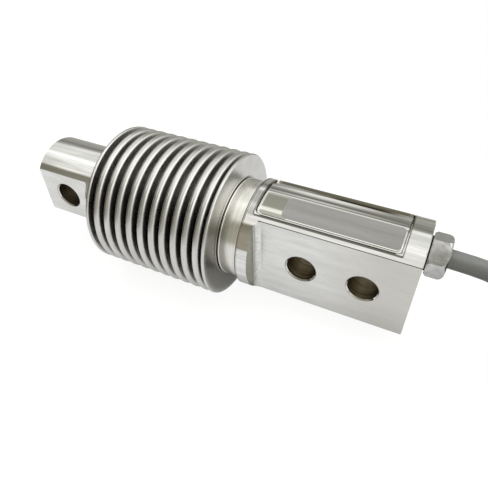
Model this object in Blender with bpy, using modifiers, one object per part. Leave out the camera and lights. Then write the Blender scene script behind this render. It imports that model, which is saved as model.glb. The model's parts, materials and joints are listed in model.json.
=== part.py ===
"""Bellows-sealed bending-beam load cell with a cable gland and its cable, put away as a tied hank."""
import math

import bmesh
import bpy
from mathutils import Matrix, Vector

# Driving sizes in millimetres. X runs along the cell from its load end, Z up through the
# nameplate, and the machined flats face -Y and +Y.
MM = 0.001
GAP = 0.3                   # clearance between pieces that touch on the real cell
BODY_STEPS = 48             # facets round the machined body
SMALL_STEPS = 24            # facets round holes, rings and the gland

# Measuring body. Its stations are parts of its length from the load end, and its sections step
# in or out from the neck, so both keep together when a size changes.
BODY_LENGTH = 120.6
NECK_D = 29.4
SPIGOT_STEP = 2.1           # the load end lies this far inside the neck
COLLAR_STEP = 1.4           # collar and block stand this far out from it
SPIGOT_D = NECK_D - 2 * SPIGOT_STEP
BLOCK_D = NECK_D + 2 * COLLAR_STEP
SPIGOT_FLAT_DEPTH = 2.9
BLOCK_FLAT_DEPTH = 6.4
SPIGOT_ACROSS_FLATS = SPIGOT_D - 2 * SPIGOT_FLAT_DEPTH
BLOCK_ACROSS_FLATS = BLOCK_D - 2 * BLOCK_FLAT_DEPTH
SPIGOT_FLAT_LENGTH = 0.1613 * BODY_LENGTH
SPIGOT_CHAMFER = 0.15
SPIGOT_FILLET = 0.8         # cutter radius where a spigot flat ends
LOAD_HOLE_D = 8.2
LOAD_HOLE_FROM_END = 0.0779 * BODY_LENGTH
NECK_START = 0.5208 * BODY_LENGTH
COLLAR_START = 0.6115 * BODY_LENGTH
BLOCK_FLAT_START = 0.6467 * BODY_LENGTH
BLOCK_FILLET = 1.3          # cutter radius where a block flat ends
EDGE_CHAMFER = 0.35
MOUNT_HOLE_D = 8.2
MOUNT_HOLE_FROM_END = 0.1041 * BODY_LENGTH  # cable end of the body to the nearer hole
MOUNT_HOLE_SPACING = 0.1422 * BODY_LENGTH
BEAM_START = 0.2375 * BODY_LENGTH
BEAM_END = 0.5083 * BODY_LENGTH
BEAM_FLAT_STEP = 0.3        # the beam's flats stand this far out from the spigot's
BEAM_ACROSS_FLATS = SPIGOT_ACROSS_FLATS + 2 * BEAM_FLAT_STEP
BEAM_SKIN = 2.8             # what the bores leave of the beam at its thinnest
WINDOW_BORE_D = BEAM_ACROSS_FLATS - 2 * BEAM_SKIN
WINDOW_SLOT = 0.3 * BEAM_ACROSS_FLATS
WINDOW_FIRST_X = 0.3083 * BODY_LENGTH
WINDOW_BORE_SPACING = 0.1417 * BODY_LENGTH

# Bellows
ROOT_STEP = 1.0             # the roots of the folds lie this far out from the neck
FOLD_DEPTH = 6.0
ROOT_D = NECK_D + 2 * ROOT_STEP
CREST_D = ROOT_D + 2 * FOLD_DEPTH
CRESTS = 10                 # between the two end discs
FIRST_CREST_X = 0.2575 * BODY_LENGTH
CREST_PITCH = 0.0302 * BODY_LENGTH
CREST_RADIUS = 0.26 * CREST_PITCH
END_DISC_RADIUS = 0.137 * CREST_PITCH  # half the thickness of the flat discs at both ends
END_DISC_GAP = 0.85 * CREST_PITCH      # from an end disc to the nearest crest
BELLOWS_WALL = 0.3
CUFF_FLARE = 0.6            # radius of the curve from an end disc into its cuff
BELLOWS_STEPS = 28
RING_WIDTH = 0.03 * BODY_LENGTH

# Cavity under the nameplate
RECESS_START = 0.6335 * BODY_LENGTH
RECESS_END = 0.9569 * BODY_LENGTH
RECESS_HALF_ANGLE = 31.0    # degrees either side of the top
RECESS_CORNER = 1.2
COVER_SINK = 0.45           # how far the cover lies below the round of the block
COVER_THICKNESS = 0.9
CAVITY_START = 0.6667 * BODY_LENGTH
CAVITY_END = 0.925 * BODY_LENGTH
CAVITY_WIDTH = 0.62 * BLOCK_ACROSS_FLATS
CAVITY_CORNER = 2.0
HOLE_WALL = 1.95            # steel between the mounting holes and the cavity's floor
CAVITY_FLOOR = MOUNT_HOLE_D / 2 + HOLE_WALL  # above the axis
PLATE_START = 0.6389 * BODY_LENGTH
PLATE_END = 0.9519 * BODY_LENGTH
PLATE_START_ANGLE = 2.0        # degrees from the top to the nameplate's upper edge
PLATE_SWEEP_ANGLE = 26.4
PLATE_THICKNESS = 0.25
PLATE_CORNER = 0.6
PASSAGE_D = 3.0
PASSAGE_DEPTH = 2.3         # from the neck's surface to the middle of the passage
PASSAGE_HEIGHT = NECK_D / 2 - PASSAGE_DEPTH

# Gauges and electronics
GAUGE_LENGTH = 6.4
GAUGE_WIDTH = 4.4
GAUGE_THICKNESS = 0.3
GAUGE_WIRE_D = 0.7
WIRE_SPREAD = 0.55          # half the spacing of the four gauge wires in the passage
BOARD_START = 0.7 * BODY_LENGTH
BOARD_END = 0.875 * BODY_LENGTH
BOARD_WIDTH = 0.75 * CAVITY_WIDTH
BOARD_THICKNESS = 1.0
RESISTOR_LENGTH = 0.467 * BOARD_WIDTH
RESISTOR_WIDTH = 1.8
RESISTOR_HEIGHT = 1.4
RESISTOR_PITCH = 0.046 * BODY_LENGTH
CORE_D = 1.1

# Gland
GLAND_DEPTH = 6.35          # from the round top of the block to the gland's axis
GLAND_HEIGHT = BLOCK_D / 2 - GLAND_DEPTH  # above the body's axis
GLAND_STEM_D = 7.4
GLAND_STEM_INSIDE = 0.07 * BODY_LENGTH  # length of stem inside the block
O_RING_D = 9.2
O_RING_WIDTH = 0.4
NUT_ACROSS_FLATS = 10.2
NUT_LENGTH = 4.8
NUT_WALL = 1.0
NUT_TURN = 12.0             # degrees that the tightened nut is turned from corner-up
NUT_ROUNDING = 0.9
GROMMET_WIDTH = 1.5

# Cable: three metres, of which the hank takes all but the run from the gland
CABLE_D = 5.0
HANK_FROM_NUT = 23.8        # free run between the gland nut and the hank
HANK_RUN = 19 * CABLE_D
HANK_LANES = 2
HANK_LAYERS = 5
TURN_PITCH = CABLE_D + 0.2  # one turn beside or above the next
FOLD_RADIUS = 3.04 * CABLE_D  # inside turn, at its centre line
TIE_WIDTH = 12.0
TIE_THICKNESS = 1.0
TIE_FROM_FOLD = 22.0
TAIL_LENGTH = 16.0
TAIL_FROM_FOLD = 36.0
TAIL_INWARD = 7.7           # where the jacket ends, in from the inside turn's centre line
LEAD_D = 1.3
LEAD_LENGTH = 24.0
LEAD_FAN = 5.2              # between the ends of two leads
CABLE_OVER_HANK = [(2, 0.22), (12, 0.53), (23, 0.87)]  # past the near end, part of the fold radius
FLOOR_GAP = 0.1             # below what lies on the surface without carrying the cell

# Worked out from the sizes above
AXIS_HEIGHT = CREST_D / 2
BLOCK_R = BLOCK_D / 2
NUT_START = BODY_LENGTH + O_RING_WIDTH + 2 * GAP
NUT_END = NUT_START + NUT_LENGTH
HANK_START = NUT_END + HANK_FROM_NUT
TAIL_END_Y = FOLD_RADIUS - TAIL_INWARD
MIDDLE_X = NUT_END / 2      # the origin is below the middle of the cell without its cable
END_DISC_X = [FIRST_CREST_X - END_DISC_GAP, FIRST_CREST_X + (CRESTS - 1) * CREST_PITCH + END_DISC_GAP]
HOLE_X = [BODY_LENGTH - MOUNT_HOLE_FROM_END - MOUNT_HOLE_SPACING, BODY_LENGTH - MOUNT_HOLE_FROM_END]
GAUGE_X = [WINDOW_FIRST_X, WINDOW_FIRST_X + WINDOW_BORE_SPACING]
CABLE_BORE_D = CABLE_D + 2 * GAP
COVER_OUTER_R = BLOCK_R - COVER_SINK
COVER_INNER_R = COVER_OUTER_R - COVER_THICKNESS
HANK_HEIGHT = HANK_LAYERS * TURN_PITCH
HANK_OUTER_R = FOLD_RADIUS + (HANK_LANES - 1) * TURN_PITCH + CABLE_D / 2
HANK_INNER_R = FOLD_RADIUS - CABLE_D / 2
HANK_FOLD_X = HANK_START + HANK_OUTER_R
BOARD_Z = CAVITY_FLOOR + GAP


def place(x, y, z):
    """A point of the cell, with z from the axis, in the part's own frame in metres."""
    return Vector(((x - MIDDLE_X) * MM, y * MM, (z + AXIS_HEIGHT) * MM))


def on_floor(x, y, z):
    """A point with z from the surface that the cell lies on, for the cable."""
    return place(x, y, z - AXIS_HEIGHT)


def clear_scene():
    for obj in list(bpy.data.objects):
        bpy.data.objects.remove(obj, do_unlink=True)


def make_collection(name):
    collection = bpy.data.collections.new(name)
    bpy.context.scene.collection.children.link(collection)
    return collection


def material(name, colour, roughness, metallic):
    mat = bpy.data.materials.new(name)
    mat.use_nodes = True
    shader = mat.node_tree.nodes["Principled BSDF"]
    shader.inputs["Base Color"].default_value = (*colour, 1.0)
    shader.inputs["Roughness"].default_value = roughness
    shader.inputs["Metallic"].default_value = metallic
    return mat


def add_object(name, mesh, mat=None, collection=None):
    obj = bpy.data.objects.new(name, mesh)
    (collection or PARTS).objects.link(obj)
    if mat:
        obj.data.materials.append(mat)
    return obj


def hide_cutter(obj):
    obj.hide_render = True
    obj.display_type = "WIRE"
    return obj


def mesh_from(name, work):
    mesh = bpy.data.meshes.new(name)
    work.to_mesh(mesh)
    work.free()
    return mesh


def turned(name, outline, mat=None, axis_z=0.0, closed=False, steps=BODY_STEPS, collection=None):
    """A shape turned about a line along X. The outline's (x, radius) points run from the cable
    end to the load end down the outer side, and back up the inner side where it is closed."""
    work = bmesh.new()
    verts = [work.verts.new((radius * MM, 0, x * MM)) for x, radius in outline]
    for a, b in zip(verts, verts[1:]):
        work.edges.new((a, b))
    if closed:
        work.edges.new((verts[-1], verts[0]))
    obj = add_object(name, mesh_from(name, work), mat, collection)
    obj.location = place(0, 0, axis_z)
    obj.rotation_euler = (0, math.radians(90), 0)
    screw = obj.modifiers.new("turn", "SCREW")
    screw.axis = "Z"
    screw.angle = math.radians(360)
    screw.steps = steps
    screw.render_steps = steps
    screw.use_merge_vertices = True
    screw.merge_threshold = 0.00001
    screw.use_smooth_shade = True
    return obj


def box(name, low, high, mat=None, collection=None, rounding=0.0, rounded_edges=None):
    """A box between two corners; rounding bevels the edges that rounded_edges picks."""
    work = bmesh.new()
    bmesh.ops.create_cube(work, size=1.0)
    size = Vector(high) - Vector(low)
    middle = (Vector(high) + Vector(low)) / 2
    bmesh.ops.transform(work, matrix=Matrix.Diagonal((*(size * MM), 1.0)), verts=work.verts)
    if rounding:
        edges = [e for e in work.edges if rounded_edges is None or rounded_edges(e)]
        bmesh.ops.bevel(work, geom=edges, offset=rounding * MM, segments=3, affect="EDGES", profile=0.5)
    obj = add_object(name, mesh_from(name, work), mat, collection)
    obj.location = place(*middle)
    return obj


def bore(name, start, end, diameter, steps=SMALL_STEPS):
    """A round cutter between two points of the cell."""
    a, b = place(*start), place(*end)
    work = bmesh.new()
    bmesh.ops.create_cone(work, cap_ends=True, segments=steps, radius1=diameter / 2 * MM,
                          radius2=diameter / 2 * MM, depth=(b - a).length)
    obj = hide_cutter(add_object(name, mesh_from(name, work), None, CUTTERS))
    obj.location = (a + b) / 2
    obj.rotation_euler = (b - a).to_track_quat("Z", "X").to_euler()
    return obj


def arc_plate(name, span, radii, from_top, to_top, mat=None, collection=None, corner=0.0, steps=10):
    """A plate bent round the axis, between two angles from the top towards -Y, in degrees."""
    work = bmesh.new()
    (x0, x1), (r0, r1) = span, radii
    start = math.radians(from_top)
    across = Vector((0, -math.sin(start), math.cos(start)))
    corners = [work.verts.new(Vector((x * MM, 0, 0)) + across * r * MM)
               for x, r in ((x0, r0), (x1, r0), (x1, r1), (x0, r1))]
    face = work.faces.new(corners)
    bmesh.ops.spin(work, geom=[face, *face.edges, *face.verts], cent=(0, 0, 0), axis=(1, 0, 0),
                   angle=math.radians(to_top - from_top), steps=steps)
    bmesh.ops.recalc_face_normals(work, faces=work.faces)
    if corner:
        ends = [e for e in work.edges
                if abs((e.verts[0].co - e.verts[1].co).length - (r1 - r0) * MM) < 1e-6
                and len(e.link_faces) == 2
                and e.link_faces[0].normal.angle(e.link_faces[1].normal) > math.radians(80)]
        bmesh.ops.bevel(work, geom=ends, offset=corner * MM, segments=3, affect="EDGES", profile=0.5)
    obj = add_object(name, mesh_from(name, work), mat, collection)
    obj.location = place(0, 0, 0)
    return obj


def cut(obj, cutter, operation="DIFFERENCE"):
    modifier = obj.modifiers.new(cutter.name, "BOOLEAN")
    modifier.operation = operation
    modifier.object = cutter
    modifier.solver = "EXACT"


def smooth_line(points, step):
    """Points about one step apart on a smooth curve through the given ones."""
    ends = [points[0] * 2 - points[1], *points, points[-1] * 2 - points[-2]]
    line = [points[0]]
    for p0, p1, p2, p3 in zip(ends, ends[1:], ends[2:], ends[3:]):
        count = max(1, round((p2 - p1).length / step))
        for k in range(1, count + 1):
            t = k / count
            line.append(0.5 * (2 * p1 + (p2 - p0) * t + (2 * p0 - 5 * p1 + 4 * p2 - p3) * t ** 2
                               + (3 * p1 - p0 - 3 * p2 + p3) * t ** 3))
    return line


def tube(name, points, diameter, mat, sides=2, step=2.5):
    """A round wire or cable along a smooth line through the given points, with closed ends."""
    line = smooth_line(points, step * diameter * MM)
    curve = bpy.data.curves.new(name, "CURVE")
    curve.dimensions = "3D"
    curve.bevel_depth = diameter / 2 * MM
    curve.bevel_resolution = sides
    curve.use_fill_caps = True
    spline = curve.splines.new("POLY")
    spline.points.add(len(line) - 1)
    for point, co in zip(spline.points, line):
        point.co = (*co, 1.0)
    curve.materials.append(mat)
    obj = bpy.data.objects.new(name, curve)
    PARTS.objects.link(obj)
    return obj


def arc(centre_x, centre_r, radius, start, end, count):
    """Points of an (x, radius) outline on an arc, with angles in degrees from the cable end."""
    return [(centre_x + radius * math.cos(math.radians(start + (end - start) * k / (count - 1))),
             centre_r + radius * math.sin(math.radians(start + (end - start) * k / (count - 1))))
            for k in range(count)]


def make_measuring_body(steel):
    """One machined piece: spigot, bending beam with its window, neck, collar and flat block."""
    spigot_r = SPIGOT_D / 2
    body = turned("measuring_body", [
        (BODY_LENGTH, 0), (BODY_LENGTH, BLOCK_R - EDGE_CHAMFER), (BODY_LENGTH - EDGE_CHAMFER, BLOCK_R),
        (COLLAR_START + EDGE_CHAMFER, BLOCK_R), (COLLAR_START, BLOCK_R - EDGE_CHAMFER),
        (COLLAR_START, NECK_D / 2), (NECK_START, NECK_D / 2), (NECK_START, spigot_r),
        (SPIGOT_CHAMFER, spigot_r), (0, spigot_r - SPIGOT_CHAMFER), (0, 0)], steel)

    def flats(name, x0, x1, across, fillet):
        """A cutter on each side, rounded along its inner edges like the milling cutter's corner."""
        deep = BLOCK_D
        for side in (-1, 1):
            inner = side * across / 2
            low, high = sorted((inner, inner + side * deep))
            side_name = "front" if side < 0 else "rear"
            cutter = box(f"{name}_{side_name}", (x0, low, -BLOCK_D), (x1, high, BLOCK_D), None, CUTTERS,
                         fillet, lambda e, s=side: all(v.co.y * s < 0 for v in e.verts)
                         and abs(e.verts[0].co.x - e.verts[1].co.x) < 1e-9)
            cut(body, hide_cutter(cutter))

    past = 5.0
    flats("block_flat_cutter", BLOCK_FLAT_START, BODY_LENGTH + past, BLOCK_ACROSS_FLATS, BLOCK_FILLET)
    flats("spigot_flat_cutter", -past, SPIGOT_FLAT_LENGTH, SPIGOT_ACROSS_FLATS, SPIGOT_FILLET)
    flats("beam_flat_cutter", BEAM_START, BEAM_END, BEAM_ACROSS_FLATS, SPIGOT_FILLET)

    for k, x in enumerate(HOLE_X):
        cut(body, bore(f"mount_hole_cutter_{k + 1}", (x, -BLOCK_R, 0), (x, BLOCK_R, 0), MOUNT_HOLE_D))
    cut(body, bore("load_hole_cutter", (LOAD_HOLE_FROM_END, -BLOCK_R, 0), (LOAD_HOLE_FROM_END, BLOCK_R, 0),
                   LOAD_HOLE_D))

    for k, x in enumerate(GAUGE_X):
        cut(body, bore(f"window_bore_cutter_{k + 1}", (x, 0, -BLOCK_R), (x, 0, BLOCK_R), WINDOW_BORE_D))
    slot = WINDOW_SLOT / 2
    cut(body, hide_cutter(box("window_slot_cutter", (GAUGE_X[0], -slot, -BLOCK_R),
                              (GAUGE_X[1], slot, BLOCK_R), None, CUTTERS)))

    recess = arc_plate("recess_cutter", (RECESS_START, RECESS_END), (COVER_INNER_R - GAP, BLOCK_R + past),
                       -RECESS_HALF_ANGLE, RECESS_HALF_ANGLE, None, CUTTERS, RECESS_CORNER)
    cut(body, hide_cutter(recess))
    half = CAVITY_WIDTH / 2
    cavity = box("cavity_cutter", (CAVITY_START, -half, CAVITY_FLOOR), (CAVITY_END, half, BLOCK_R),
                 None, CUTTERS, CAVITY_CORNER, lambda e: abs(e.verts[0].co.z - e.verts[1].co.z) > 1e-4)
    cut(body, hide_cutter(cavity))
    cut(body, bore("gland_bore_cutter", (CAVITY_END - 1, 0, GLAND_HEIGHT),
                   (BODY_LENGTH + past, 0, GLAND_HEIGHT), GLAND_STEM_D + 2 * GAP))
    notch = box("passage_notch_cutter", (BEAM_END - 4, -PASSAGE_D, PASSAGE_HEIGHT - PASSAGE_D * 0.7),
                (NECK_START, PASSAGE_D, BLOCK_R), None, CUTTERS)
    cut(body, hide_cutter(notch))
    cut(body, bore("passage_cutter", (NECK_START - 1, 0, PASSAGE_HEIGHT),
                   (CAVITY_START + 1, 0, PASSAGE_HEIGHT), PASSAGE_D, 16))
    return body


def make_bellows(steel):
    """A thin corrugated tube, open at its ends, whose end discs flare into the two cuffs."""
    cuff_r = NECK_D / 2 + GAP + BELLOWS_WALL
    crests = [(FIRST_CREST_X + k * CREST_PITCH, CREST_RADIUS) for k in range(CRESTS)]
    crests = [(END_DISC_X[0], END_DISC_RADIUS), *crests, (END_DISC_X[1], END_DISC_RADIUS)]

    def cuff(side, wall_x):
        """The curve from an end disc to its cuff, from the disc outwards."""
        return [(wall_x + side * CUFF_FLARE * (1 - math.sin(a)), cuff_r + CUFF_FLARE * (1 - math.cos(a)))
                for a in (math.radians(90), math.radians(45), math.radians(0))]

    outline = list(reversed(cuff(1, END_DISC_X[1] + END_DISC_RADIUS)))
    for (x, r), (next_x, next_r) in zip(reversed(crests), [*reversed(crests[:-1]), (None, None)]):
        outline += arc(x, CREST_D / 2 - r * math.cos(math.radians(25)), r, 15, 165, 4)
        if next_x is not None:
            root_r = (x - r - next_x - next_r) / 2
            outline += arc(x - r - root_r, ROOT_D / 2 + root_r, root_r, -40, -140, 2)
    outline += cuff(-1, END_DISC_X[0] - END_DISC_RADIUS)
    bellows = turned("bellows", outline, steel, steps=BELLOWS_STEPS)
    wall = bellows.modifiers.new("wall", "SOLIDIFY")
    wall.thickness = BELLOWS_WALL * MM
    wall.offset = -1
    wall.use_even_offset = True
    return bellows


def ring(name, x0, x1, inner_r, outer_r, mat, axis_z=0.0, steps=SMALL_STEPS, edge=0.0):
    """A turned ring or sleeve, with its outer edges broken by a chamfer where edge is given."""
    outline = [(x1, inner_r), (x1, outer_r - edge), (x1 - edge, outer_r), (x0 + edge, outer_r),
               (x0, outer_r - edge), (x0, inner_r)] if edge else [
        (x1, inner_r), (x1, outer_r), (x0, outer_r), (x0, inner_r)]
    return turned(name, outline, mat, axis_z=axis_z, closed=True, steps=steps)


def make_load_side_ring(steel):
    """The ring that carries the bellows' load-side cuff on the spigot."""
    end = END_DISC_X[0] - END_DISC_RADIUS
    ring("load_side_ring", end - RING_WIDTH, end, SPIGOT_D / 2 + GAP, NECK_D / 2, steel, steps=36)


def make_cover_and_nameplate(steel, plate_metal):
    side_gap = math.degrees(GAP / BLOCK_R)
    arc_plate("cavity_cover", (RECESS_START + GAP, RECESS_END - GAP), (COVER_INNER_R, COVER_OUTER_R),
              -RECESS_HALF_ANGLE + side_gap, RECESS_HALF_ANGLE - side_gap, steel, None, RECESS_CORNER - GAP)
    plate_r = COVER_OUTER_R + GAP / 4
    arc_plate("nameplate", (PLATE_START, PLATE_END), (plate_r, plate_r + PLATE_THICKNESS),
              PLATE_START_ANGLE, PLATE_START_ANGLE + PLATE_SWEEP_ANGLE, plate_metal, None, PLATE_CORNER, 6)


def make_gauges(foil, wire_coats):
    """Four foil gauges on the beam's flats over the window bores, with their wires to the board."""
    face = BEAM_ACROSS_FLATS / 2 + GAP
    lift = face + GAUGE_THICKNESS + GAP + GAUGE_WIRE_D / 2
    half_x, half_z = GAUGE_LENGTH / 2, GAUGE_WIDTH / 2
    over_r = SPIGOT_D / 2 + GAP + GAUGE_WIRE_D
    for side, side_name in ((-1, "front"), (1, "rear")):
        for k, (x, end_name) in enumerate(zip(GAUGE_X, ("load", "block"))):
            low, high = sorted((side * face, side * (face + GAUGE_THICKNESS)))
            box(f"strain_gauge_{side_name}_{end_name}", (x - half_x, low, -half_z),
                (x + half_x, high, half_z), foil)
            lane = side * WIRE_SPREAD
            level = PASSAGE_HEIGHT + (WIRE_SPREAD if k else -WIRE_SPREAD)
            run_z = half_z * (0.2 if k else 1.8)
            turn = math.radians(38 if k else 30)
            points = [place(x + half_x * 0.6, side * lift, run_z),
                      place(x + half_x + 2 * GAUGE_WIRE_D, side * lift, run_z)]
            if not k:
                points.append(place(GAUGE_X[1] + half_x * 0.6, side * lift, run_z + 1.2))
            points += [
                place(BEAM_END - 3.5 + k, side * over_r * math.cos(turn), over_r * math.sin(turn)),
                place(BEAM_END - 2.4 + k, side * over_r * 0.42, over_r * 0.93),
                place(BEAM_END - 0.4 + k * 0.5, lane * 1.6, level + 0.5),
                place(NECK_START + 3, lane, level),
                place(CAVITY_START + 1, lane, level),
                place(BOARD_START + 1.2 + 1.2 * k, side * BOARD_WIDTH * (0.36 - 0.16 * k),
                      BOARD_Z + BOARD_THICKNESS + GAP + GAUGE_WIRE_D / 2)]
            tube(f"gauge_wire_{side_name}_{end_name}", points, GAUGE_WIRE_D, wire_coats[k], step=6.5)


def make_board(laminate, ceramic):
    """The compensation board on the cavity's floor, with its trimming resistors."""
    half = BOARD_WIDTH / 2
    box("compensation_board", (BOARD_START, -half, BOARD_Z), (BOARD_END, half, BOARD_Z + BOARD_THICKNESS),
        laminate)
    base = BOARD_Z + BOARD_THICKNESS + GAP
    middle = (BOARD_START + BOARD_END) / 2
    for k in range(3):
        x = middle + (k - 1) * RESISTOR_PITCH
        box(f"trim_resistor_{k + 1}", (x - RESISTOR_WIDTH / 2, -RESISTOR_LENGTH / 2, base),
            (x + RESISTOR_WIDTH / 2, RESISTOR_LENGTH / 2, base + RESISTOR_HEIGHT), ceramic, None, 0.3)


def make_gland(steel, rubber):
    """Stem in the block, sealing ring, grommet and the hexagon nut that presses on the cable."""
    cable_r = CABLE_BORE_D / 2
    stem_end = NUT_END - NUT_WALL - GROMMET_WIDTH - 2 * GAP
    stem_r = GLAND_STEM_D / 2
    ring_x = BODY_LENGTH + GAP
    ring("gland_stem", BODY_LENGTH - GLAND_STEM_INSIDE, stem_end, cable_r, stem_r, steel, GLAND_HEIGHT)
    ring("gland_o_ring", ring_x, ring_x + O_RING_WIDTH, stem_r + GAP, O_RING_D / 2, rubber, GLAND_HEIGHT,
         edge=O_RING_WIDTH / 4)
    ring("seal_grommet", stem_end + GAP, stem_end + GAP + GROMMET_WIDTH, cable_r, stem_r, rubber,
         GLAND_HEIGHT)

    work = bmesh.new()
    corner_r = NUT_ACROSS_FLATS / 2 / math.cos(math.radians(30))
    bmesh.ops.create_cone(work, cap_ends=True, segments=6, radius1=corner_r * MM, radius2=corner_r * MM,
                          depth=NUT_LENGTH * MM)
    turn = Matrix.Rotation(math.radians(30 + NUT_TURN), 3, "Z")
    bmesh.ops.rotate(work, verts=work.verts, cent=(0, 0, 0), matrix=turn)
    nut = add_object("gland_nut", mesh_from("gland_nut", work), steel)
    nut.location = place((NUT_START + NUT_END) / 2, 0, GLAND_HEIGHT)
    nut.rotation_euler = Vector((1, 0, 0)).to_track_quat("Z", "X").to_euler()
    rounding = turned("nut_rounding_cutter", [
        (NUT_END, 0), (NUT_END, corner_r - NUT_ROUNDING),
        (NUT_END - NUT_ROUNDING * 0.6, corner_r - NUT_ROUNDING * 0.2),
        (NUT_END - NUT_ROUNDING * 1.4, corner_r + GAP), (NUT_START + NUT_ROUNDING * 0.7, corner_r + GAP),
        (NUT_START, corner_r - NUT_ROUNDING * 0.6), (NUT_START, 0)],
        None, axis_z=GLAND_HEIGHT, steps=SMALL_STEPS, collection=CUTTERS)
    cut(nut, hide_cutter(rounding), "INTERSECT")
    cut(nut, bore("nut_bore_cutter", (NUT_START - 1, 0, GLAND_HEIGHT),
                  (NUT_END - NUT_WALL, 0, GLAND_HEIGHT), GLAND_STEM_D + 2 * GAP))
    cut(nut, bore("nut_mouth_cutter", (NUT_START, 0, GLAND_HEIGHT),
                  (NUT_END + 1, 0, GLAND_HEIGHT), CABLE_BORE_D))


def make_cores(coats):
    """The four cores of the cable, from its stripped end in the gland to the board."""
    start_x = BODY_LENGTH - GLAND_STEM_INSIDE - GAP
    top = BOARD_Z + BOARD_THICKNESS + GAP + CORE_D / 2
    for k, (name, coat) in enumerate(coats):
        y = (k - 1.5) * (CORE_D + 2 * GAP)
        points = [place(start_x, y * 0.8, GLAND_HEIGHT), place(start_x - 2 * CORE_D, y, GLAND_HEIGHT - 0.4),
                  place(BOARD_END - 0.5, y, top + 0.4), place(BOARD_END - 2.5 * CORE_D, y, top)]
        tube(f"core_{name}", points, CORE_D, coat, step=2.0)


def racetrack(radius):
    """The outline of the hank seen from above, at the given fold radius, as a closed curve."""
    points = []
    for x, start in ((HANK_FOLD_X + HANK_RUN, -90), (HANK_FOLD_X, 90)):
        for k in range(13):
            a = math.radians(start + 15 * k)
            points.append((x + radius * math.cos(a), radius * math.sin(a)))
    return points


def add_outline(curve, points):
    spline = curve.splines.new("POLY")
    spline.points.add(len(points) - 1)
    for point, (x, y) in zip(spline.points, points):
        point.co = (x * MM, y * MM, 0, 1.0)
    spline.use_cyclic_u = True


def curve_to_mesh(obj):
    """A mesh object in the place of a curve, with its caps welded, so that it can be cut."""
    bpy.context.view_layer.update()
    mesh = bpy.data.meshes.new_from_object(obj.evaluated_get(bpy.context.evaluated_depsgraph_get()))
    work = bmesh.new()
    work.from_mesh(mesh)
    bmesh.ops.remove_doubles(work, verts=work.verts, dist=0.000001)
    bmesh.ops.recalc_face_normals(work, faces=work.faces)
    work.to_mesh(mesh)
    work.free()
    made = bpy.data.objects.new(obj.name, mesh)
    PARTS.objects.link(made)
    made.matrix_world = obj.matrix_world
    name = obj.name
    bpy.data.objects.remove(obj, do_unlink=True)
    made.name = name
    return made


def make_hank(rubber, strap):
    """The wound cable as one plain ring with round ends, and the strap round its near run."""
    curve = bpy.data.curves.new("cable_hank", "CURVE")
    curve.dimensions = "2D"
    curve.fill_mode = "BOTH"
    curve.extrude = HANK_HEIGHT / 2 * MM
    add_outline(curve, racetrack(HANK_OUTER_R))
    add_outline(curve, racetrack(HANK_INNER_R))
    curve.materials.append(rubber)
    flat = bpy.data.objects.new("cable_hank", curve)
    PARTS.objects.link(flat)
    flat.location = on_floor(0, 0, HANK_HEIGHT / 2)
    hank = curve_to_mesh(flat)

    def band(name, grow, widen, mat, collection):
        """A box round the near run of the hank, grown outwards and widened along the run."""
        x = HANK_FOLD_X + TIE_FROM_FOLD
        half = TIE_WIDTH / 2 + widen
        return box(name, (x - half, -HANK_OUTER_R - grow, TIE_THICKNESS - grow - AXIS_HEIGHT),
                   (x + half, -HANK_INNER_R + grow, HANK_HEIGHT + grow - AXIS_HEIGHT), mat, collection)

    tie = band("cable_tie", TIE_THICKNESS, 0, strap, None)
    cut(tie, hide_cutter(band("tie_inside_cutter", 0, GAP, None, CUTTERS)))
    seat = hide_cutter(band("tie_seat_cutter", TIE_THICKNESS + GAP, GAP, None, CUTTERS))
    cut(seat, hide_cutter(band("tie_core_cutter", -GAP, 2 * GAP, None, CUTTERS)))
    cut(hank, seat)


def make_cable(jacket, coats):
    """The cable from the gland to the top of the hank, and its bare end inside the hank."""
    exit_z = GLAND_HEIGHT + AXIS_HEIGHT
    over = HANK_HEIGHT + GAP + CABLE_D / 2
    free, drop = HANK_START - NUT_END, exit_z - over
    route = [(BODY_LENGTH - GLAND_STEM_INSIDE, 0, exit_z), (NUT_END, 0, exit_z),
             (NUT_END + free * 0.35, 0, exit_z - drop * 0.2),
             (NUT_END + free * 0.7, -FOLD_RADIUS * 0.05, exit_z - drop * 0.7)]
    route += [(HANK_START + along, -FOLD_RADIUS * aside, over) for along, aside in CABLE_OVER_HANK]
    tube("cable", [on_floor(*p) for p in route], CABLE_D, jacket, sides=3, step=1.6)

    tail_x = HANK_FOLD_X + TAIL_FROM_FOLD
    lie = CABLE_D / 2 + FLOOR_GAP
    tail = [(tail_x, HANK_INNER_R - CABLE_D / 2 - GAP, lie), (tail_x - TAIL_LENGTH, TAIL_END_Y, lie)]
    tube("cable_tail", [on_floor(*p) for p in tail], CABLE_D, jacket, sides=3, step=1.6)
    start = tail_x - TAIL_LENGTH - 3 * GAP
    lead_z = LEAD_D / 2 + FLOOR_GAP
    for k, (name, coat) in enumerate(coats):
        y = TAIL_END_Y + (k - 1.5) * LEAD_D * 0.88
        far = (k - 1.5) * LEAD_FAN + LEAD_D
        z = lie + LEAD_D * (0.7 if k % 2 else -0.7)
        row = [(start, y, z), (start - LEAD_LENGTH * 0.2, y + (far - y) * 0.35, lead_z + FLOOR_GAP),
               (start - LEAD_LENGTH * 0.6, y + (far - y) * 0.8, lead_z),
               (start - LEAD_LENGTH + 2 * LEAD_D * abs(k - 1.5), far, lead_z)]
        tube(f"lead_{name}", [on_floor(*p) for p in row], LEAD_D, coat, step=2.5)


clear_scene()
PARTS = make_collection("strain_gauge_load_cell")
CUTTERS = make_collection("cutters")

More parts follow.
